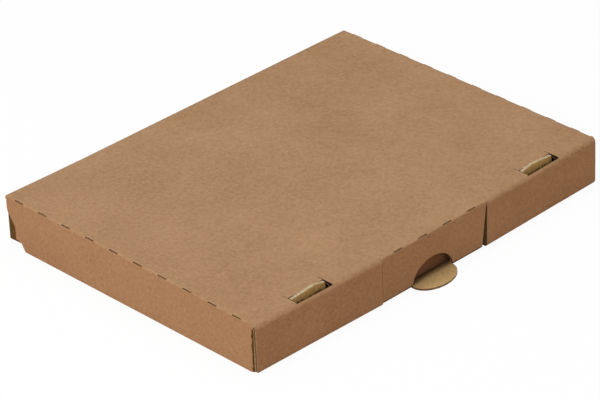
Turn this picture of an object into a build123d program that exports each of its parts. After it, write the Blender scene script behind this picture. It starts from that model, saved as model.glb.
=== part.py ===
from build123d import *
import os

# Closed carton, outside sizes in millimetres: +X along the front, front at -Y, floor at z = 0
box_length = 210.0
box_width = 157.8
box_height = 23.4

# Corrugated board, its folds and the play between its layers
board = 1.6
layer_gap = 0.3
hinge_gap = 0.2
side_play = 0.5
soft_fold = 2.4
tight_fold = 1.5
rim_fold = 1.8
ear_fold = 2.2
side_fold = 1.0
corner_round = 1.8

# Perforating rule on the side folds and on the flap crease
cut_pitch = 15.1
cut_length = 5.2
cut_width = 0.45
cut_depth = 1.3
first_cut = 7.0

# Rolled front walls, tucked in at the foot of both corners
flap_opening = 65.0
corner_tuck = 1.5
end_round = 2.0
rim_strip = 16.0

# Slots in the top panel and the tongues of the rolled walls
slot_start = 60.4
slot_length = 20.6
slot_depth = 6.9
slot_slope = 0.62
tongue_play = 0.7
tongue_shoulder = -0.2
tongue_crown = 0.9
tongue_peak = 6.0
slit_length = 3.4
slit_width = 0.25

# Ears folded from the side walls and from the back wall
front_ear = 21.0
front_ear_low = 1.9
front_ear_gap = 0.5
rear_ear = 25.0
rear_ear_low = 2.3
ear_drop = 0.6

# Base: bottom panel and the wall standing between the rolled front walls
base_play = 0.5
base_wall_inset = 1.5
base_wall_depth = 3.9
base_wall_height = 18.0
base_wall_lean = 1.2
base_wall_corner = 4.0
base_corner_side = 8.0
base_corner_back = 16.5

# Front flap, its half-moon and its tuck lip
flap_play_left = 0.2
flap_play_right = 0.4
flap_skew = 3.0
flap_lift = 0.6
lip_depth = 3.7
lip_press = 1.0
notch_depth = 0.6
moon_centre = -1.7
moon_width = 25.0
moon_depth = 10.0
tab_tip = 0.9
tab_reach = 8.0

half_length = box_length / 2
half_width = box_width / 2
half_board = board / 2
front_face = -half_width
panel_under = box_height - board
panel_mid = box_height - half_board
wall_inside = half_length - board
flap_edge = flap_opening / 2
front_mid = front_face + half_board
hinge_y = half_width - half_board
hinge_z = half_board
side_cuts = int((box_width - soft_fold - first_cut - cut_length) / cut_pitch) + 1
flap_cuts = int(flap_opening / cut_pitch)

# Front section, seen from its corner: -X towards the flap, +Y inwards from the front face
section_length = half_length - flap_edge
section_end = board + layer_gap
slot_centre = slot_start + slot_length / 2 - half_length
ear_space = front_ear_gap + board + layer_gap
rolled_y = board + ear_space + half_board
rolled_top_y = slot_depth - layer_gap - half_board
rolled_top_z = panel_under - layer_gap
front_corner = Location((half_length, front_face, 0))

# Mid-lines of the ears and the edges of the base
front_ear_y = front_face + board + front_ear_gap + half_board
front_wall_y = front_ear_y - half_board + ear_fold
front_ear_height = panel_under + layer_gap
rear_ear_x = wall_inside - layer_gap - half_board
base_half = wall_inside - side_play
base_edge_y = front_face + rolled_y + corner_tuck + half_board + base_play
base_wall_half = flap_edge - base_wall_inset
base_wall_y = front_face + base_wall_depth + half_board
nose_half = base_half + half_board - base_corner_side + layer_gap

# Outline of a side wall's rear end, from the top panel down to the floor
rear_outline = [
    (half_width - corner_round, panel_under),
    (half_width - 2.6, 16.2),
    (half_width - 5.9, 9.8),
    (half_width - 5.9, 4.3),
    (half_width - 9.3, 3.4),
    (half_width - 11.6, 0.0),
]

os.makedirs("parts", exist_ok=True)

with BuildPart() as front_section:
    # Strip of the top panel behind the front fold
    with BuildSketch(Plane.XY.offset(panel_under)):
        with Locations((0, soft_fold)):
            Rectangle(section_length, rim_strip - soft_fold, align=(Align.MAX, Align.MIN))
    extrude(amount=board)
    # Rolled wall: over the panel's edge, down, under and up again inside
    for end_x, tuck in ((-section_length, 0), (-section_end, corner_tuck)):
        with BuildSketch(Plane.YZ.offset(end_x)):
            with BuildLine():
                FilletPolyline(
                    (2 * soft_fold, panel_mid),
                    (half_board, panel_mid),
                    (half_board + tuck, half_board),
                    (rolled_y + tuck, half_board),
                    (rolled_top_y, rolled_top_z),
                    radius=[soft_fold - half_board, rim_fold - half_board, rim_fold - half_board],
                )
            trace(line_width=board)
    loft(ruled=True)
    # The outer layer alone runs on to the corner
    with BuildSketch(Plane.YZ.offset(-section_end)):
        with BuildLine():
            FilletPolyline(
                (2 * soft_fold, panel_mid),
                (half_board, panel_mid),
                (half_board + corner_tuck, half_board),
                (half_board + corner_tuck + board, half_board),
                radius=[soft_fold - half_board, rim_fold - half_board],
            )
        trace(line_width=board)
        with Locations((corner_tuck + board, 0)):
            Rectangle(2 * board, panel_under - soft_fold, align=(Align.MIN, Align.MIN), mode=Mode.SUBTRACT)
    extrude(amount=section_end)
    # Its lower corner is rounded
    with BuildSketch(Plane.XZ.offset(board)):
        Rectangle(end_round, end_round, align=(Align.MAX, Align.MIN))
        with Locations((-end_round, end_round)):
            Circle(end_round, mode=Mode.SUBTRACT)
    extrude(amount=-3 * board, mode=Mode.SUBTRACT)
    # Slot, cut through the upper part of the front fold, with a short slit at each end
    with BuildSketch(Plane.YZ.offset(slot_centre - slot_length / 2)):
        with BuildLine():
            Polyline(
                (soft_fold, box_height - soft_fold),
                (soft_fold - 2 * soft_fold * slot_slope, box_height + soft_fold),
                (slot_depth, box_height + soft_fold),
                (slot_depth, box_height - soft_fold),
                close=True,
            )
        make_face()
    extrude(amount=slot_length, mode=Mode.SUBTRACT)
    for end in (-1, 1):
        slit_x = slot_centre + end * (slot_length - slit_width) / 2
        with Locations((slit_x, slot_depth + slit_length / 2, panel_mid)):
            Box(slit_width, slit_length, 2 * board, mode=Mode.SUBTRACT)
    # Tongue: the rolled wall continues through the slot, crowned nearer to the flap
    tongue_half = slot_length / 2 - tongue_play
    rolled_plane = Plane(
        origin=(slot_centre, rolled_y, half_board),
        x_dir=(1, 0, 0),
        z_dir=(0, half_board - rolled_top_z, rolled_top_y - rolled_y),
    )
    with BuildSketch(rolled_plane):
        with BuildLine():
            Polyline(
                (-tongue_half, panel_under - 2 * board),
                (tongue_half, panel_under - 2 * board),
                (tongue_half, box_height + tongue_shoulder - half_board),
                (tongue_peak - tongue_half, box_height + tongue_crown - half_board),
                (-tongue_half, box_height + tongue_shoulder - half_board),
                close=True,
            )
        make_face()
    extrude(amount=half_board, both=True)

with BuildPart() as lid:
    # Back wall with an ear at each end
    with BuildSketch(Plane.XY.offset(hinge_z + hinge_gap)):
        with BuildLine():
            FilletPolyline(
                (-rear_ear_x, half_width - rear_ear),
                (-rear_ear_x, hinge_y),
                (rear_ear_x, hinge_y),
                (rear_ear_x, half_width - rear_ear),
                radius=tight_fold,
            )
        trace(line_width=board)
    extrude(amount=panel_under + layer_gap - hinge_z - hinge_gap)
    # Ears stay clear of the top panel and, with the wall's corners, of the floor
    for side in (-1, 1):
        with Locations((side * rear_ear_x, half_width - tight_fold - board, panel_under)):
            Box(board, rear_ear, 2 * layer_gap, align=(Align.CENTER, Align.MAX, Align.CENTER),
                mode=Mode.SUBTRACT)
        with Locations((side * (nose_half + base_corner_side), hinge_y, 0)):
            Box(2 * base_corner_side, 2 * rear_ear, 2 * rear_ear_low, mode=Mode.SUBTRACT)
    # Seat of the back wall on the rounded rear edge of the base
    with Locations((0, hinge_y, hinge_z)):
        Cylinder(half_board + hinge_gap, box_length, rotation=(0, 90, 0), mode=Mode.SUBTRACT)
        Box(box_length, board, board + 2 * hinge_gap, align=(Align.CENTER, Align.MAX, Align.CENTER),
            mode=Mode.SUBTRACT)

    # Ears at the front ends of the side walls, lower than the walls at top and bottom
    for side in (-1, 1):
        with BuildSketch(Plane.XY):
            with BuildLine():
                FilletPolyline(
                    (side * (half_length - half_board), front_wall_y + corner_tuck + soft_fold),
                    (side * (half_length - half_board), front_ear_y + corner_tuck),
                    (side * (half_length - front_ear), front_ear_y + corner_tuck),
                    radius=ear_fold - half_board,
                )
            trace(line_width=board)
        extrude(amount=front_ear_height, dir=(0, -corner_tuck / front_ear_height, 1))
        with BuildSketch(Plane.XZ.offset(-front_ear_y - corner_tuck - board)):
            with Locations((side * (half_length - ear_fold - front_ear / 2), 0)):
                Rectangle(front_ear, 2 * front_ear_low)
            with Locations((side * (half_length - ear_fold - front_ear / 2), panel_under)):
                Rectangle(front_ear, 2 * ear_drop)
        extrude(amount=corner_tuck + 2 * board, mode=Mode.SUBTRACT)
    # Side walls, stepped at the rear end
    for side in (-1, 1):
        with BuildSketch(Plane.YZ.offset(side * wall_inside)):
            with BuildLine():
                Polyline(
                    *rear_outline,
                    (front_wall_y + corner_tuck, 0),
                    (front_wall_y, front_ear_height),
                    (rear_outline[0][0], front_ear_height),
                    close=True,
                )
            make_face()
        extrude(amount=side * board)

    # Top panel, reaching as a half-round edge over the front flap
    with BuildSketch(Plane.XY.offset(panel_under)):
        with Locations((0, half_width)):
            Rectangle(box_length, box_width - rim_strip, align=(Align.CENTER, Align.MAX))
        fillet(vertices().group_by(Axis.Y)[-1], radius=corner_round)
        with Locations((0, front_mid)):
            Rectangle(flap_opening, rim_strip, align=(Align.CENTER, Align.MIN))
    extrude(amount=board)
    with Locations((0, front_mid, panel_mid)):
        Cylinder(half_board, flap_opening, rotation=(0, 90, 0))
    # Perforation cuts along the flap's crease
    for step in range(flap_cuts):
        cut_x = (step - (flap_cuts - 1) / 2) * cut_pitch
        with Locations((cut_x, front_face, box_height)):
            Box(cut_length, 2 * notch_depth, 2 * cut_width, mode=Mode.SUBTRACT)

    # Rolled front sections at both corners
    add(front_section.part.moved(front_corner))
    mirror(front_section.part.moved(front_corner), about=Plane.YZ)

    # Rounded folds along both sides and along the back of the top panel
    for side in (-1, 1):
        with BuildSketch(Plane.XZ.offset(half_width - soft_fold)):
            with Locations((side * (half_length - side_fold / 2), box_height - side_fold / 2)):
                Rectangle(side_fold, side_fold)
            with Locations((side * (half_length - side_fold), box_height - side_fold)):
                Circle(side_fold, mode=Mode.SUBTRACT)
        extrude(amount=soft_fold - box_width, mode=Mode.SUBTRACT)
    with BuildSketch(Plane.YZ.offset(-half_length)):
        with Locations((half_width - tight_fold / 2, box_height - tight_fold / 2)):
            Rectangle(tight_fold, tight_fold)
        with Locations((half_width - tight_fold, box_height - tight_fold)):
            Circle(tight_fold, mode=Mode.SUBTRACT)
    extrude(amount=box_length, mode=Mode.SUBTRACT)

    # Perforation: at each cut the board stays square and is slit through the corner
    for side in (-1, 1):
        for step in range(side_cuts):
            cut_y = half_width - first_cut - cut_length / 2 - step * cut_pitch
            with Locations((side * half_length, cut_y, box_height)):
                Box(side_fold, cut_length, side_fold,
                    align=(Align.MAX if side > 0 else Align.MIN, Align.CENTER, Align.MAX))
            with Locations((side * half_length, cut_y, box_height)):
                Box(2 * cut_depth, cut_length, cut_width, rotation=(0, -side * 45, 0),
                    mode=Mode.SUBTRACT)
lid.part.label = "lid"

with BuildPart() as base:
    # Bottom panel, its rear corners cut away beside the rounded hinge edge
    with BuildSketch(Plane.XY):
        with BuildLine():
            Polyline(
                (0, base_edge_y),
                (base_half, base_edge_y),
                (base_half, half_width - base_corner_back),
                (nose_half, hinge_y - half_board),
                (nose_half, hinge_y),
                (0, hinge_y),
                close=True,
            )
        make_face()
        mirror(about=Plane.YZ)
    extrude(amount=board)
    with Locations((0, hinge_y, hinge_z)):
        Cylinder(half_board, 2 * nose_half, rotation=(0, 90, 0))
    # Front wall on its own fold, leaning back as it rises
    with BuildSketch(Plane.YZ.offset(-base_wall_half)):
        with BuildLine():
            FilletPolyline(
                (base_edge_y + 2 * soft_fold, half_board),
                (base_wall_y, half_board),
                (base_wall_y + base_wall_lean, base_wall_height),
                radius=tight_fold,
            )
        trace(line_width=board)
    extrude(amount=2 * base_wall_half)
    # Rounded upper corners of the front wall
    with BuildSketch(Plane.XZ.offset(half_width)):
        for side in (-1, 1):
            corner_x = side * (base_wall_half - base_wall_corner / 2)
            with Locations((corner_x, base_wall_height - base_wall_corner / 2 + half_board)):
                Rectangle(base_wall_corner, base_wall_corner + board)
        for side in (-1, 1):
            corner_x = side * (base_wall_half - base_wall_corner)
            with Locations((corner_x, base_wall_height - base_wall_corner)):
                Circle(base_wall_corner, mode=Mode.SUBTRACT)
    extrude(amount=-2 * rim_strip, mode=Mode.SUBTRACT)
base.part.label = "base"

with BuildPart() as thumb_tab:
    # The half-moon pressed out of the flap, thinner and drooping towards its tip
    with BuildSketch(Plane.YZ.offset(moon_centre - moon_width / 2)):
        with BuildLine():
            Polyline(
                (front_face + soft_fold, flap_lift),
                (front_face + soft_fold, flap_lift + lip_press),
                (front_face - tab_reach, tab_tip),
                (front_face - tab_reach, 0),
                close=True,
            )
        make_face()
    extrude(amount=moon_width)
    with BuildSketch(Plane.XY):
        with Locations((moon_centre, front_face)):
            Ellipse(moon_width / 2, tab_reach)
        with Locations((moon_centre, front_face)):
            Rectangle(moon_width, 2 * soft_fold, align=(Align.CENTER, Align.MIN))
    extrude(amount=box_height, mode=Mode.INTERSECT)

with BuildPart() as front_flap:
    # Flap and tuck lip as one folded strip, the lip pressed thinner
    with BuildSketch(Plane.YZ.offset(-flap_edge)):
        with BuildLine():
            FilletPolyline(
                (front_mid, panel_mid),
                (front_mid, flap_lift + half_board),
                (front_face + lip_depth, flap_lift + half_board),
                radius=rim_fold - half_board,
            )
        trace(line_width=board)
    extrude(amount=flap_opening)
    with Locations((0, front_face + board, flap_lift + lip_press)):
        Box(2 * flap_opening, lip_depth, board, align=(Align.CENTER, Align.MIN, Align.MIN),
            mode=Mode.SUBTRACT)
    # Half-moon opening above the lip
    with BuildSketch(Plane.XZ.offset(half_width + board)):
        with Locations((moon_centre, flap_lift + lip_press / 2)):
            Ellipse(moon_width / 2, moon_depth)
        with Locations((moon_centre, flap_lift)):
            Rectangle(moon_width, moon_depth, align=(Align.CENTER, Align.MAX), mode=Mode.SUBTRACT)
    extrude(amount=-board - soft_fold, mode=Mode.SUBTRACT)
    add(thumb_tab.part)
    # Side edges: the flap hangs a little to the left of its opening
    with BuildSketch(Plane.XZ.offset(half_width + board)):
        with BuildLine():
            Polyline(
                (-flap_edge + flap_play_left, box_height),
                (-flap_edge + flap_play_left, 0),
                (-2 * flap_edge, 0),
                (-2 * flap_edge, box_height),
                close=True,
            )
        make_face()
        with BuildLine():
            Polyline(
                (flap_edge - flap_play_right, box_height),
                (flap_edge - flap_play_right - flap_skew, 0),
                (2 * flap_edge, 0),
                (2 * flap_edge, box_height),
                close=True,
            )
        make_face()
    extrude(amount=-2 * rim_strip, mode=Mode.SUBTRACT)
    # Seat under the panel's half-round edge, open towards the inside
    with Locations((0, front_mid, panel_mid)):
        Cylinder(half_board + hinge_gap, 2 * flap_opening, rotation=(0, 90, 0), mode=Mode.SUBTRACT)
        Box(2 * flap_opening, 2 * board, board + 2 * hinge_gap,
            align=(Align.CENTER, Align.MIN, Align.CENTER), mode=Mode.SUBTRACT)
front_flap.part.label = "front_flap"

export_step(lid.part, "parts/lid.step")
export_step(base.part, "parts/base.step")
export_step(front_flap.part, "parts/front_flap.step")
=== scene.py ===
import math

import bmesh
import bpy
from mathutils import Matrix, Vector
from mathutils.bvhtree import BVHTree


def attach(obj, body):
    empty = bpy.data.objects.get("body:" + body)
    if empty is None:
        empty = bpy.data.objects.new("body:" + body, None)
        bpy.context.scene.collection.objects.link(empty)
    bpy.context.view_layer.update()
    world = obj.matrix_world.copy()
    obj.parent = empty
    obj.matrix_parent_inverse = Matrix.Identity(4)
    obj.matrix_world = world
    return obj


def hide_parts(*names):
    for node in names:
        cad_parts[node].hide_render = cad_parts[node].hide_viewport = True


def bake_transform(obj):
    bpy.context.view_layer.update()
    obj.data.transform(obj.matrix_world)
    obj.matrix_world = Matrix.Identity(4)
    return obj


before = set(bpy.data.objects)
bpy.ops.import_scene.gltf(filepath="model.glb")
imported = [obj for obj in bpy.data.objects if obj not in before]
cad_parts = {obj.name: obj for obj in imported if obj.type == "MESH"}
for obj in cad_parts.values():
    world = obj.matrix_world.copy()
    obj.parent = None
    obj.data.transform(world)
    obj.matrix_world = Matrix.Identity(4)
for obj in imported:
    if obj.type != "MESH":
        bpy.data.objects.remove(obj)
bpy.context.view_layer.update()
scene = bpy.context.scene
scene.view_settings.view_transform = "Standard"

MM = 0.001

# The carton as the CAD makes it, in mm
BOARD = 1.6
FRONT = -78.9
BACK = 78.9
SIDE = 105.0
TOP = 23.4
NOSE = BOARD / 2
FLAP_LEFT, FLAP_RIGHT = -32.3, 32.1
CUT_MIDDLES = (-22.65, -7.55, 7.55, 22.65)
CUT_LENGTH = 5.2
SLOT_NEAR, SLOT_FAR, SLOT_BACK = 60.4, 81.0, 6.9
TONGUE_PLAY = 0.7
HINGE_HALF = 95.9

# Paper: flutes, and liner that lies a little proud over the two divided creases
FLUTE_PITCH = 3.3
LINER = 0.25
PROUD = 0.03
SHARP = math.radians(35)

# Slack of the folded board: front corners drawn in at the top, and their feet
DRAWN_IN, DRAWN_REACH = 1.594, 45.0
FOOT_RIGHT, FOOT_LEFT = -0.165, -0.141
# Rear corners sprung up and pressed down, and the left fold lifted along its middle
REAR_LEFT, REAR_RIGHT = 0.95, -0.404
SIDE_LEFT, SIDE_MIDDLE, SIDE_HALF = 0.9, 15.0, 75.0
# Rear left corner: the side wall bulges back below its fold, and the back wall's end stands out
BULGE, BULGE_DROP, BULGE_REACH, BULGE_RISE = 1.2, 12.0, 9.0, 6.0
STAND_OUT, STAND_FROM, STAND_RISE, STAND_REACH, STAND_DROP = 0.9, 97.0, 4.0, 4.0, 3.0


def new_object(name, mesh):
    made = bpy.data.objects.new(name, mesh)
    scene.collection.objects.link(made)
    return made


# Node helpers for the procedural materials

class Shader:
    def __init__(self, name):
        self.material = bpy.data.materials.new(name)
        self.material.use_nodes = True
        self.tree = self.material.node_tree
        self.nodes = self.tree.nodes
        self.surface = self.nodes["Principled BSDF"]
        self.surface.inputs["Roughness"].default_value = 0.9
        self.surface.inputs["Specular IOR Level"].default_value = 0.2
        self.place = self.nodes.new("ShaderNodeTexCoord").outputs["Object"]

    def link(self, source, target):
        self.tree.links.new(source, target)

    def stretched(self, x, y, z):
        node = self.nodes.new("ShaderNodeMapping")
        node.inputs["Scale"].default_value = (x, y, z)
        self.link(self.place, node.inputs["Vector"])
        return node.outputs["Vector"]

    def noise(self, scale, detail=3.0, rough=0.55, place=None):
        node = self.nodes.new("ShaderNodeTexNoise")
        node.inputs["Scale"].default_value = scale
        node.inputs["Detail"].default_value = detail
        node.inputs["Roughness"].default_value = rough
        self.link(place or self.place, node.inputs["Vector"])
        return node.outputs["Fac"]

    def ramp(self, value, *stops):
        node = self.nodes.new("ShaderNodeValToRGB")
        ramp = node.color_ramp
        while len(ramp.elements) < len(stops):
            ramp.elements.new(0.5)
        for element, (at, colour) in zip(ramp.elements, stops):
            element.position = at
            element.color = (*colour, 1.0)
        self.link(value, node.inputs["Fac"])
        return node.outputs["Color"]

    def mix(self, factor, a, b, mode="MIX"):
        node = self.nodes.new("ShaderNodeMix")
        node.data_type = "RGBA"
        node.blend_type = mode
        for value, socket in ((factor, node.inputs[0]), (a, node.inputs[6]), (b, node.inputs[7])):
            if isinstance(value, (int, float)):
                socket.default_value = value
            elif isinstance(value, tuple):
                socket.default_value = (*value, 1.0)
            else:
                self.link(value, socket)
        return node.outputs[2]

    def math(self, kind, a, b=0.0):
        node = self.nodes.new("ShaderNodeMath")
        node.operation = kind
        for value, socket in ((a, node.inputs[0]), (b, node.inputs[1])):
            if isinstance(value, (int, float)):
                socket.default_value = value
            else:
                self.link(value, socket)
        return node.outputs[0]

    def bump(self, height, strength, distance, under=None):
        node = self.nodes.new("ShaderNodeBump")
        node.inputs["Strength"].default_value = strength
        node.inputs["Distance"].default_value = distance
        self.link(height, node.inputs["Height"])
        if under is not None:
            self.link(under, node.inputs["Normal"])
        return node.outputs["Normal"]


def kraft(name, light, middle, dark, speck, darkening=None):
    """Liner paper: cloudy pulp, fine short fibres and few dark specks.

    A darkening is an axis, the place in mm where the paper is darkest, the length in mm over which it
    clears, how ragged it is, and the factor at its darkest: painted shade at the tab's root, and the tongue
    darker towards its foot.
    """
    s = Shader(name)
    clouds = s.noise(34.0, 3.0, 0.6)
    pulp = s.noise(620.0, 4.0, 0.7)
    fibres = s.noise(1500.0, 3.0, 0.6, s.stretched(0.4, 1.0, 1.0))
    blend = s.math("ADD", s.math("MULTIPLY", clouds, 0.3), s.math("MULTIPLY", pulp, 0.7))
    colour = s.ramp(blend, (0.3, dark), (0.5, middle), (0.7, light))
    streaks = s.ramp(fibres, (0.35, (0.955, 0.95, 0.945)), (0.65, (1.035, 1.035, 1.035)))
    colour = s.mix(1.0, colour, streaks, "MULTIPLY")
    spots = s.ramp(s.noise(1500.0, 1.0, 0.4), (0.72, (0.0, 0.0, 0.0)), (0.78, (1.0, 1.0, 1.0)))
    colour = s.mix(s.math("MULTIPLY", spots, 0.3), colour, speck)
    if darkening is not None:
        axis, darkest, length, raggedness, factor = darkening
        split = s.nodes.new("ShaderNodeSeparateXYZ")
        s.link(s.place, split.inputs["Vector"])
        beyond = s.math("SUBTRACT", split.outputs[axis], darkest * MM)
        beyond = s.math("DIVIDE", beyond, length * MM)
        ragged = s.math("SUBTRACT", s.noise(700.0, 3.0, 0.6), 0.5)
        beyond = s.math("ADD", beyond, s.math("MULTIPLY", ragged, raggedness))
        cleared = s.ramp(beyond, (0.0, factor), (0.9, (1.0, 1.0, 1.0)))
        colour = s.mix(1.0, colour, cleared, "MULTIPLY")
    s.link(colour, s.surface.inputs["Base Color"])
    soft = s.bump(s.noise(22.0, 2.0, 0.5), 0.16, 0.0012)
    grain = s.bump(pulp, 0.18, 0.00012, soft)
    s.link(s.bump(fibres, 0.15, 0.0001, grain), s.surface.inputs["Normal"])
    return s.material


OUTER_TONES = ((0.474, 0.286, 0.156), (0.398, 0.231, 0.120), (0.318, 0.175, 0.085))
INNER_TONES = ((0.580, 0.392, 0.180), (0.510, 0.332, 0.144), (0.430, 0.270, 0.108))
# Tongue: inner liner in lighter tones, painted light on its face down in the slot
TONGUE_PAINTED_LIGHT_TONES = ((0.950, 0.590, 0.215), (0.890, 0.515, 0.170), (0.670, 0.370, 0.115))
# Darker tones: painted shade for the base's front wall
SHADED_TONES = ((0.310, 0.158, 0.080), (0.260, 0.128, 0.062), (0.205, 0.098, 0.046))
# The tongue's paper is darker towards its foot, with a ragged edge
TONGUE_FOOT = ("Z", TOP - 3.4, 1.11, 4.0, (0.34, 0.27, 0.18))
# Painted shade on the thumb tab at its root, by the wall
TAB_ROOT_PAINTED_SHADE = ("Y", FRONT + 3.6, -4.0, 0.3, (0.30, 0.22, 0.16))
outer_liner = kraft("kraft_outer", *OUTER_TONES, (0.18, 0.09, 0.04))
inner_liner = kraft("kraft_inner", *INNER_TONES, (0.20, 0.11, 0.04))
tongue_liner_painted_light = kraft("kraft_tongue_painted_light", *TONGUE_PAINTED_LIGHT_TONES, (0.30, 0.18, 0.07), TONGUE_FOOT)
tab_liner_root_shade = kraft("kraft_tab_root_shade", *INNER_TONES, (0.20, 0.11, 0.04), TAB_ROOT_PAINTED_SHADE)
shaded_liner = kraft("kraft_shaded", *SHADED_TONES, (0.12, 0.06, 0.03))


def plain_paper(name, dark, light):
    """Torn or cut paper, or painted shade: one noise between two tones, with a fuzzy surface."""
    s = Shader(name)
    fuzz = s.noise(900.0, 3.0, 0.6)
    s.link(s.ramp(fuzz, (0.3, dark), (0.7, light)), s.surface.inputs["Base Color"])
    s.link(s.bump(fuzz, 0.3, 0.0001), s.surface.inputs["Normal"])
    return s.material


# Near-black painted shade for the hollows under and behind the slots
painted_hollow_shade = plain_paper("painted_hollow_shade", (0.006, 0.004, 0.002), (0.030, 0.017, 0.009))
cut_brown = plain_paper("cut_brown", (0.150, 0.084, 0.042), (0.270, 0.160, 0.085))
# Painted shade for the ears in the corner gaps and for the flap's lower fold
painted_gap_shade = plain_paper("painted_gap_shade", (0.092, 0.042, 0.007), (0.150, 0.076, 0.016))
crown_edge = plain_paper("crown_edge", (0.330, 0.235, 0.130), (0.620, 0.500, 0.330))


def cut_edge():
    """Die-cut edge: two liners, and between them the waved medium, with painted shade in its hollows."""
    s = Shader("board_edge")
    uv = s.nodes.new("ShaderNodeUVMap")
    uv.uv_map = "ply"
    split = s.nodes.new("ShaderNodeSeparateXYZ")
    s.link(uv.outputs["UV"], split.inputs["Vector"])
    along, across = split.outputs["X"], split.outputs["Y"]
    wave = s.math("MULTIPLY", s.math("SINE", s.math("MULTIPLY", along, 2 * math.pi)), 0.30)
    off = s.math("ABSOLUTE", s.math("SUBTRACT", s.math("SUBTRACT", across, 0.5), wave))
    medium = s.math("LESS_THAN", off, 0.13)
    rim = s.math("GREATER_THAN", s.math("ABSOLUTE", s.math("SUBTRACT", across, 0.5)), 0.36)
    paper = s.math("MAXIMUM", medium, rim)
    fuzz = s.noise(1300.0, 3.0, 0.6)
    pale = s.ramp(fuzz, (0.35, (0.27, 0.17, 0.09)), (0.65, (0.44, 0.33, 0.20)))
    flute_shade = s.ramp(fuzz, (0.35, (0.09, 0.045, 0.02)), (0.65, (0.20, 0.11, 0.05)))
    s.link(s.mix(paper, flute_shade, pale), s.surface.inputs["Base Color"])
    s.link(s.bump(s.math("ADD", paper, fuzz), 0.5, 0.0002), s.surface.inputs["Normal"])
    return s.material


board_edge = cut_edge()
FACES = (
    outer_liner, inner_liner, board_edge, painted_hollow_shade, tongue_liner_painted_light, cut_brown, painted_gap_shade, crown_edge,
    shaded_liner, tab_liner_root_shade,
)
OUTER, INNER, EDGE, HOLLOW_SHADE, TONGUE_LIT, CUT, SHADE, CROWN, SHADED_WALL, TAB_ROOT_SHADED = range(len(FACES))


# Dressed copies of the folded sheet: every face is told apart as outer liner, inner liner or cut edge.
# A face is liner where a ray into the board leaves it again within the board's thickness
INSET, RAY_LENGTH, THICKEST = 0.02, 50.0, 2.1


def on_outside(centre, normal, node):
    """Faces that start the outer liner, on the outermost planes of the carton."""
    x, y, z = centre / MM
    if node == "base":
        return normal.z < -0.9 and z < 0.1
    if node == "front_flap":
        return normal.y < -0.9 and y < FRONT + 0.1 and z > 3.0
    if normal.z > 0.9 and z > TOP - 0.1 and y > FRONT + 7.0:
        return True
    if abs(normal.x) > 0.9 and abs(x) > SIDE - 0.1 and y > FRONT + 5.0 and z < TOP - 2.0:
        return True
    if normal.y < -0.9 and y < FRONT + 0.1:
        return True
    return normal.y > 0.9 and y > BACK - 0.1 and abs(x) < 100.0


# Planes that divide the lid's faces: by height, so that its walls can bend, and at the ends of the slots
# and tongues, so that the layers seen through the slots can carry painted shade apart from the rest of
# their panels
SLOT_MARGIN, SLOT_LAYERS = 1.0, 7.0
DIVIDING_PLANES = []
for drop in (2.0, 4.0, 5.5, SLOT_LAYERS, 9.0, 12.0):
    DIVIDING_PLANES.append((Vector((0, 0, TOP - drop)), Vector((0, 0, 1))))
for x in (SLOT_NEAR - SLOT_MARGIN, SLOT_NEAR + TONGUE_PLAY, SLOT_FAR - TONGUE_PLAY, SLOT_FAR + SLOT_MARGIN):
    DIVIDING_PLANES += [(Vector((side * x, 0, 0)), Vector((1, 0, 0))) for side in (-1, 1)]


def slot_kind(across, in_front, below, normal):
    """Kind of a face in and under a slot of the top panel, or None outside of it. The slot's hollows get
    painted shade and the tongue's face painted light.
    """
    in_length = SLOT_NEAR - SLOT_MARGIN < across < SLOT_FAR + SLOT_MARGIN
    if in_length and 1.4 < in_front < SLOT_BACK + SLOT_MARGIN and BOARD < below < SLOT_LAYERS:
        on_tongue = SLOT_NEAR + TONGUE_PLAY < across < SLOT_FAR - TONGUE_PLAY
        return TONGUE_LIT if on_tongue and normal.y < -0.8 and in_front > 3.0 else HOLLOW_SHADE
    end = 0.3
    in_length = SLOT_NEAR - end < across < SLOT_FAR + end
    if not (in_length and 0.5 < in_front < SLOT_BACK + 3.6 and -1.2 < below < 3.0):
        return None
    at_end = across < SLOT_NEAR + end or across > SLOT_FAR - end
    if in_front > SLOT_BACK + 0.1 and normal.z < 0.9:
        return CUT
    if abs(normal.x) > 0.9 and at_end and below > 0:
        return HOLLOW_SHADE
    if in_front > SLOT_BACK - 0.1 and normal.z < 0.9:
        return HOLLOW_SHADE
    if normal.y > 0.3 and in_front < 3.0:
        return HOLLOW_SHADE
    if normal.z > 0.5 and below > BOARD:
        return HOLLOW_SHADE
    if normal.z > 0.5 and below < 0.6 and 3.0 < in_front < SLOT_BACK - 0.1:
        return CROWN
    if normal.y < -0.8 and 3.0 < in_front < SLOT_BACK - 0.5:
        return TONGUE_LIT
    return None


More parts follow.
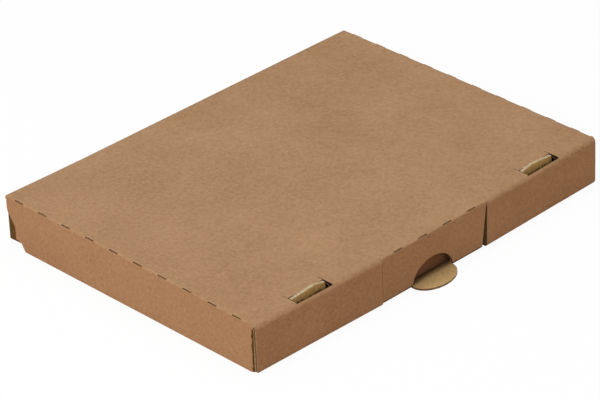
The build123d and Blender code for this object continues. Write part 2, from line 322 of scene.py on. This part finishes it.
def forced(node, centre, normal, kind):
    """Kind of the small faces at perforations, slots and creases, and of any other face as it is."""
    x, y, z = centre / MM
    across, in_front = abs(x), y - FRONT
    if node == "front_flap":
        # Fold into the tuck lip, in painted shade, and the upper side of the thumb tab, with painted shade
        # at its root
        if normal.z < -0.1 and -0.1 < in_front < 1.4 and z < 2.3:
            return SHADE
        return TAB_ROOT_SHADED if normal.z > 0.5 and -16.0 < x < 13.0 and z < 2.5 and kind == INNER else kind
    if node == "base":
        # Front wall, seen through the recess, in painted shade over its whole outer face
        return SHADED_WALL if normal.y < -0.5 and z > 0.6 and kind == OUTER else kind
    aside, below = SIDE - across, TOP - z
    # Perforated side folds
    if aside < 1.5 and below < 1.5 and in_front > 2.0 and y < BACK - 1.0:
        in_slit = abs(aside - below) < 0.36 and aside + below > 0.62
        return CUT if in_slit else OUTER
    # Tops of the front corners, and painted shade on the ears in the gaps at the front and rear corners
    if aside < 2.6 and below < 2.6 and in_front < 6.0 and kind == EDGE and normal.z > 0.2:
        return OUTER
    if aside < 3.0 and 1.7 < in_front < 5.0 and normal.y < -0.5 and below > 2.6:
        return SHADE
    if 1.7 < aside < 3.0 and y > BACK - 26.0 and abs(normal.x) > 0.5 and kind != EDGE:
        return SHADE
    # Perforated crease of the flap
    if across < FLAP_RIGHT and in_front < BOARD and below < BOARD:
        return CUT if math.hypot(in_front - NOSE, below - NOSE) < NOSE - 0.05 else OUTER
    found = slot_kind(across, in_front, below, normal)
    return kind if found is None else found


def clamped(value):
    return min(max(value, 0.0), 1.0)


def slack(place):
    """Where a point of the lid lies with the slack of its folded board."""
    x, y, z = place / MM
    height = clamped(z / TOP)
    away = max(abs(x) - FLAP_RIGHT - 0.4, 0.0) / (SIDE - FLAP_RIGHT - 0.4)
    near = clamped((FRONT + DRAWN_REACH - y) / DRAWN_REACH)
    foot = FOOT_RIGHT if x > 0 else FOOT_LEFT
    back_by = away ** 2 * near ** 2 * (DRAWN_IN * height + foot * (1 - height))
    rear = clamped(y / BACK)
    lift = REAR_RIGHT * rear ** 2
    if x < 0:
        middle = max(1.0 - ((y - SIDE_MIDDLE) / SIDE_HALF) ** 2, 0.0)
        lift = REAR_LEFT * rear ** 2 + SIDE_LEFT * middle
    lift *= (x / SIDE) ** 2 * height
    if x < -SIDE + BOARD + 0.1 and y > BACK - BULGE_REACH:
        rise = min((y - BACK + BULGE_REACH) / BULGE_RISE, 1.0)
        back_by += BULGE * math.sin(math.pi * clamped((TOP - z) / BULGE_DROP)) * rise
    elif x < -STAND_FROM and y > BACK - STAND_REACH:
        rise = min((-STAND_FROM - x) / STAND_RISE, 1.0)
        spread = STAND_OUT * rise * clamped((TOP - z - STAND_DROP) / (2 * STAND_DROP))
        x -= spread
        back_by += spread
    return Vector((x, y + back_by, z + lift)) * MM


def dressed(node):
    """A copy of the node's mesh, in its papers, that replaces the node."""
    bm = bmesh.new()
    bm.from_mesh(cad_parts[node].data)
    bmesh.ops.remove_doubles(bm, verts=bm.verts, dist=1e-6)
    bmesh.ops.dissolve_degenerate(bm, edges=bm.edges, dist=1e-7)
    if node == "lid":
        for place, across in DIVIDING_PLANES:
            geometry = bm.verts[:] + bm.edges[:] + bm.faces[:]
            bmesh.ops.bisect_plane(bm, geom=geometry, plane_co=place * MM, plane_no=across, dist=1e-6)
    bm.normal_update()
    bm.faces.ensure_lookup_table()
    tree = BVHTree.FromBMesh(bm)
    ply = bm.loops.layers.uv.new("ply")
    sheet_face = set()
    for face in bm.faces:
        inward = -face.normal
        start = face.calc_center_median() + inward * INSET * MM
        hit = tree.ray_cast(start, inward, RAY_LENGTH * MM)
        if hit[0] is not None and hit[3] < THICKEST * MM:
            sheet_face.add(face)
    queue = [f for f in sheet_face if on_outside(f.calc_center_median(), f.normal, node)]
    outside = set(queue)
    while queue:
        face = queue.pop()
        for edge in face.edges:
            for other in edge.link_faces:
                if other in sheet_face and other not in outside and face.normal.dot(other.normal) > 0.6:
                    outside.add(other)
                    queue.append(other)
    for face in bm.faces:
        kind = OUTER if face in outside else INNER if face in sheet_face else EDGE
        face.material_index = forced(node, face.calc_center_median(), face.normal, kind)
    for edge in bm.edges:
        edge.smooth = len(edge.link_faces) == 2 and edge.calc_face_angle() < SHARP
    for face in bm.faces:
        face.smooth = True
        if face.material_index != EDGE:
            continue
        normal = face.normal
        upright = abs(normal.y) > 0.5 or abs(normal.z) > 0.5
        for loop in face.loops:
            kinds = {f.material_index for f in loop.vert.link_faces}
            across = 0.0 if OUTER in kinds else 1.0 if INNER in kinds else 0.5
            x, y, z = loop.vert.co / MM
            if abs(x) > 100.0 and upright:
                along = z
            elif abs(normal.x) < 0.5:
                along = x
            else:
                along = 0.25 * FLUTE_PITCH
            loop[ply].uv = (along / FLUTE_PITCH, across)
    if node == "lid":
        for vert in bm.verts:
            vert.co = slack(vert.co)
    mesh = bpy.data.meshes.new(node + "_board")
    bm.to_mesh(mesh)
    bm.free()
    for material in FACES:
        mesh.materials.append(material)
    piece = new_object(node + "_board", mesh)
    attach(piece, node)
    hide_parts(node)


for node in ("base", "lid", "front_flap"):
    dressed(node)


# Outer liner bridging the two creases that the board is divided at

def bridge(name, spans):
    """Thin paper strips over a crease: each span has its range along X and its outline in Y and Z."""
    bm = bmesh.new()
    for low, high, outline in spans:
        rings = []
        for x in (low, high):
            rings.append([bm.verts.new(Vector((x, y, z)) * MM) for y, z in outline])
        count = len(outline)
        for i in range(count):
            j = (i + 1) % count
            bm.faces.new((rings[0][i], rings[0][j], rings[1][j], rings[1][i]))
        half = count // 2
        for ring in rings:
            for i in range(half - 1):
                bm.faces.new((ring[i], ring[i + 1], ring[count - 2 - i], ring[count - 1 - i]))
    bmesh.ops.recalc_face_normals(bm, faces=bm.faces)
    for face in bm.faces:
        face.smooth = True
    for edge in bm.edges:
        edge.smooth = len(edge.link_faces) == 2 and edge.calc_face_angle() < SHARP
    mesh = bpy.data.meshes.new(name)
    bm.to_mesh(mesh)
    bm.free()
    mesh.materials.append(outer_liner)
    piece = new_object(name, mesh)
    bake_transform(piece)


def crease_outline(first_angle, last_angle, axis, before, after):
    """Closed outline of the strip: round the crease's axis, with straight runs before and after it."""
    steps = 8
    loops = []
    for radius in (NOSE + PROUD, NOSE + PROUD - LINER):
        turn = []
        for i in range(steps + 1):
            angle = math.radians(first_angle + (last_angle - first_angle) * i / steps)
            turn.append((axis[0] + radius * math.cos(angle), axis[1] + radius * math.sin(angle)))
        a, b = math.radians(first_angle), math.radians(last_angle)
        side = 1 if last_angle > first_angle else -1
        head = (turn[0][0] + side * before * math.sin(a), turn[0][1] - side * before * math.cos(a))
        tail = (turn[-1][0] - side * after * math.sin(b), turn[-1][1] + side * after * math.cos(b))
        loops.append([head, *turn, tail])
    return loops[0] + loops[1][::-1]


flap_axis = (FRONT + NOSE, TOP - NOSE)
whole = crease_outline(90, 180, flap_axis, 0.6, 1.1)
lower = crease_outline(156, 180, flap_axis, 0.0, 1.1)
spans = []
reached = FLAP_LEFT
for middle in CUT_MIDDLES:
    spans.append((reached, middle - CUT_LENGTH / 2, whole))
    spans.append((middle - CUT_LENGTH / 2, middle + CUT_LENGTH / 2, lower))
    reached = middle + CUT_LENGTH / 2
spans.append((reached, FLAP_RIGHT, whole))
bridge("flap_crease", spans)

# A strip of outer liner that closes the narrow gap at the flap's left edge, so that the gap shows no shade
OPENING_LEFT = -32.5
gap = bmesh.new()
bmesh.ops.create_cube(gap, size=1.0)
low = Vector((OPENING_LEFT, FRONT + 0.08, 2.2))
high = Vector((FLAP_LEFT - 0.02, FRONT + 1.2, TOP - 1.2))
for vert in gap.verts:
    vert.co = Vector([low[i] if vert.co[i] < 0 else high[i] for i in range(3)]) * MM
gap_mesh = bpy.data.meshes.new("flap_gap_shade_fill")
gap.to_mesh(gap_mesh)
gap.free()
gap_mesh.materials.append(outer_liner)
fibres = new_object("flap_gap_shade_fill", gap_mesh)
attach(fibres, "lid")

back_axis = (BACK - NOSE, NOSE)
spans = [(-HINGE_HALF, HINGE_HALF, crease_outline(-90, 0, back_axis, 0.6, 1.1))]
bridge("back_crease", spans)

# Floor, light and camera

floor_mesh = bpy.data.meshes.new("floor")
reach = 4.0
floor_mesh.from_pydata(
    [(-reach, -reach, 0), (reach, -reach, 0), (reach, reach, 0), (-reach, reach, 0)], [], [(0, 1, 2, 3)]
)
floor = new_object("floor", floor_mesh)
floor.location.z = -0.0001
s = Shader("pale_floor")
s.surface.inputs["Base Color"].default_value = (0.78, 0.56, 0.40, 1.0)
white = s.nodes.new("ShaderNodeBsdfDiffuse")
white.inputs["Color"].default_value = (0.9, 0.9, 0.9, 1.0)
glow = s.nodes.new("ShaderNodeEmission")
glow.inputs["Color"].default_value = (1.0, 1.0, 1.0, 1.0)
glow.inputs["Strength"].default_value = 1.0
rays = s.nodes.new("ShaderNodeLightPath")
seen = s.math("MAXIMUM", rays.outputs["Is Camera Ray"], rays.outputs["Is Glossy Ray"])
seen = s.math("MAXIMUM", seen, rays.outputs["Is Transmission Ray"])
shown = s.nodes.new("ShaderNodeMixShader")
shown.inputs["Fac"].default_value = 0.94
s.link(white.outputs["BSDF"], shown.inputs[1])
s.link(glow.outputs["Emission"], shown.inputs[2])
blend = s.nodes.new("ShaderNodeMixShader")
s.link(seen, blend.inputs["Fac"])
s.link(s.surface.outputs["BSDF"], blend.inputs[1])
s.link(shown.outputs["Shader"], blend.inputs[2])
s.link(blend.outputs["Shader"], s.nodes["Material Output"].inputs["Surface"])
floor_mesh.materials.append(s.material)

world = bpy.data.worlds.new("studio")
scene.world = world
world.use_nodes = True
nodes, links = world.node_tree.nodes, world.node_tree.links
back = nodes["Background"]
back.inputs["Color"].default_value = (1.0, 1.0, 1.0, 1.0)
rays = nodes.new("ShaderNodeLightPath")
level = nodes.new("ShaderNodeMapRange")
level.inputs["To Min"].default_value = 0.38
level.inputs["To Max"].default_value = 1.0
links.new(rays.outputs["Is Camera Ray"], level.inputs["Value"])
links.new(level.outputs["Result"], back.inputs["Strength"])


def lamp(name, place, aim, size, power, colour):
    data = bpy.data.lights.new(name, "AREA")
    data.size = size
    data.energy = power
    data.color = colour
    made = bpy.data.objects.new(name, data)
    scene.collection.objects.link(made)
    made.location = place
    made.rotation_euler = (Vector(aim) - Vector(place)).to_track_quat("-Z", "Y").to_euler()


lamp("key", (-1.15, -0.12, 1.0), (0, 0, 0), 0.8, 11.8, (1.0, 0.985, 0.98))
lamp("top", (0.1, 0.1, 1.5), (0, 0, 0), 1.0, 7.85, (1.0, 1.0, 1.0))
lamp("front", (0.5, -1.4, 0.5), (0, 0, 0), 0.8, 0.35, (1.0, 0.82, 0.64))

AZIMUTH, ELEVATION, ROLL = math.radians(-43.81), math.radians(30.39), math.radians(-2.1744)
DISTANCE = 1.5516062
TARGET = Vector((-7.4864, -4.6533, 12.0)) * MM
back_dir = Vector((
    math.sin(AZIMUTH) * math.cos(ELEVATION),
    -math.cos(AZIMUTH) * math.cos(ELEVATION),
    math.sin(ELEVATION),
))
right = Vector((math.cos(AZIMUTH), math.sin(AZIMUTH), 0.0))
up = back_dir.cross(right)
right, up = (
    right * math.cos(ROLL) + up * math.sin(ROLL),
    up * math.cos(ROLL) - right * math.sin(ROLL),
)
lens = bpy.data.cameras.new("camera")
lens.sensor_width = 36.0
lens.lens = 212.9
lens.clip_start = 0.05
camera = bpy.data.objects.new("camera", lens)
scene.collection.objects.link(camera)
camera.location = TARGET + back_dir * DISTANCE
turn = camera.rotation_euler.to_matrix()
turn.col[0], turn.col[1], turn.col[2] = right, up, back_dir
camera.rotation_euler = turn.to_euler()
scene.camera = camera
